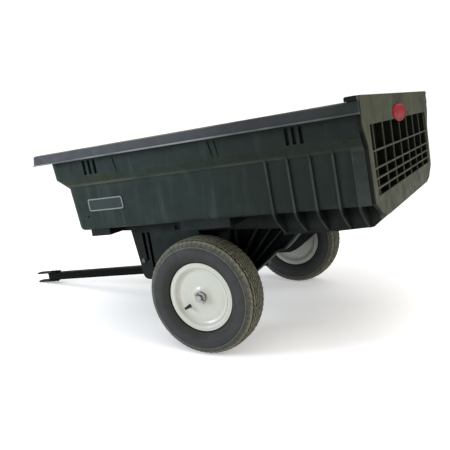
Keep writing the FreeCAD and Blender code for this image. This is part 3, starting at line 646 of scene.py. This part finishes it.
def medallion():
    """A domed oval with a raised border, bedded on the tailgate."""
    low, high = (Vector(corner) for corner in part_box("tailgate_badge"))
    half_y = (high.y - low.y) / 2 / MM
    centre = (low + high) / 2
    place = placing(centre, tub_back, tub_up)
    # margin from the edge in mm, height above the back in mm
    border = [(0, 0), (0, 2.2), (0.5, 3.3), (1.6, 3.9), (3.2, 3.9), (4.4, 3.2), (5.2, 2.2)]
    rows = border + [(6.5, 2.15), (12, 2.7), (18, 3.2), (23, 3.45), (27, 3.55)]
    count = medallion_count
    vertices = []
    for margin, height in rows:
        for k in range(count):
            angle = 2 * math.pi * k / count
            y = (half_y - margin) * math.cos(angle)
            z = (medallion_half - margin) * math.sin(angle)
            vertices.append((height - 2, y, z))
    faces = ring_faces(len(rows), count, False)
    faces.append(tuple(range(count))[::-1])
    faces.append(tuple(range((len(rows) - 1) * count, len(rows) * count)))
    mesh = mesh_of("medallion", vertices, faces, place)
    new_piece("medallion", mesh, "tailgate", "badge_red", ["tailgate_badge"])


def dress_node(name, node, slot):
    """Rounds a CAD node's edges and gives it its finish."""
    for i in range(len(node.data.materials)):
        node.data.materials[i] = finishes[slot]
    weld = node.modifiers.new("weld", "WELD")
    weld.merge_threshold = 0.00001
    bevel = node.modifiers.new("soft edges", "BEVEL")
    bevel.width = edge_widths.get(name, plain_edge) * MM
    bevel.segments = 2
    bevel.limit_method = "ANGLE"
    bevel.angle_limit = math.radians(32)
    bevel.harden_normals = False
    bevel.use_clamp_overlap = True
    normals = node.modifiers.new("normals", "WEIGHTED_NORMAL")
    normals.keep_sharp = False


# ---- scene -----------------------------------------------------------------------------------

def camera():
    made = bpy.data.objects.new("camera", bpy.data.cameras.new("camera"))
    bpy.context.scene.collection.objects.link(made)
    azimuth, elevation = math.radians(camera_azimuth), math.radians(camera_elevation)
    roll = math.radians(camera_roll)
    back = Vector((
        math.sin(azimuth) * math.cos(elevation),
        -math.cos(azimuth) * math.cos(elevation),
        math.sin(elevation),
    ))
    right = (-back).cross(Vector((0, 0, 1))).normalized()
    up = right.cross(-back)
    turned_right = math.cos(roll) * right + math.sin(roll) * up
    turned_up = -math.sin(roll) * right + math.cos(roll) * up
    turn = Matrix((turned_right, turned_up, back)).transposed()
    made.matrix_world = Matrix.Translation(axle_centre + camera_from_axle) @ turn.to_4x4()
    made.data.lens = camera_lens
    made.data.sensor_width = 36.0
    bpy.context.scene.camera = made


def floor():
    mesh = bpy.data.meshes.new("floor")
    corners = [(floor_half * x, floor_half * y, 0) for x, y in ((-1, -1), (1, -1), (1, 1), (-1, 1))]
    mesh.from_pydata(corners, [], [(0, 1, 2, 3)])
    made = bpy.data.objects.new("floor", mesh)
    bpy.context.scene.collection.objects.link(made)
    pale = Surface("floor", (0.91, 0.91, 0.91), (0.93, 0.93, 0.93), (0.8, 0.9), specular=0.05)
    pale.shader.inputs["Emission Color"].default_value = (1, 1, 1, 1)
    pale.shader.inputs["Emission Strength"].default_value = floor_glow
    mesh.materials.append(pale.finished())


def lamp(name, kind, place, power, colour, **settings):
    light = bpy.data.lights.new(name, kind)
    light.energy = power
    light.color = colour
    for key, value in settings.items():
        setattr(light, key, value)
    made = bpy.data.objects.new(name, light)
    made.location = place
    aim = Vector((0.2, 0, 0.4)) - Vector(place)
    made.rotation_euler = aim.to_track_quat("-Z", "Y").to_euler()
    bpy.context.scene.collection.objects.link(made)


def lights():
    world = bpy.data.worlds.new("studio")
    bpy.context.scene.world = world
    world.use_nodes = True
    sky = world.node_tree.nodes["Background"]
    sky.inputs["Color"].default_value = (1, 1, 1, 1)
    paths = world.node_tree.nodes.new("ShaderNodeLightPath")
    level = world.node_tree.nodes.new("ShaderNodeMapRange")
    level.inputs["To Min"].default_value = world_light
    level.inputs["To Max"].default_value = world_backdrop
    world.node_tree.links.new(paths.outputs["Is Camera Ray"], level.inputs["Value"])
    world.node_tree.links.new(level.outputs["Result"], sky.inputs["Strength"])
    lamp("overhead", "SUN", (0.9, -0.5, 4.0), 2.1, (1.0, 0.99, 0.97), angle=math.radians(75))
    lamp("warm_rear", "AREA", (3.6, -0.9, 1.8), 48, (1.0, 0.94, 0.84), size=1.6)
    lamp("cool_front", "AREA", (-2.6, -3.0, 1.4), 125, (0.8, 0.89, 1.0), size=1.2)


def build():
    slots = {row["node"]: row["material_slot"] for row in frame["record"]["subparts"]}
    for side in ("left", "right"):
        tyre(side)
        rim_barrel(side)
        rim_discs(side)
    cotter_pins()
    medallion()
    replaced = {"cotter_pins", "tailgate_badge"}
    for side in ("left", "right"):
        replaced |= {side + part for part in ("_tyre", "_rim_barrel", "_rim_disc")}
    for name, node in frame["nodes"].items():
        if name not in replaced:
            dress_node(name, node, slots[name])


bpy.context.scene.view_settings.view_transform = "Standard"
build()
camera()
floor()
lights()
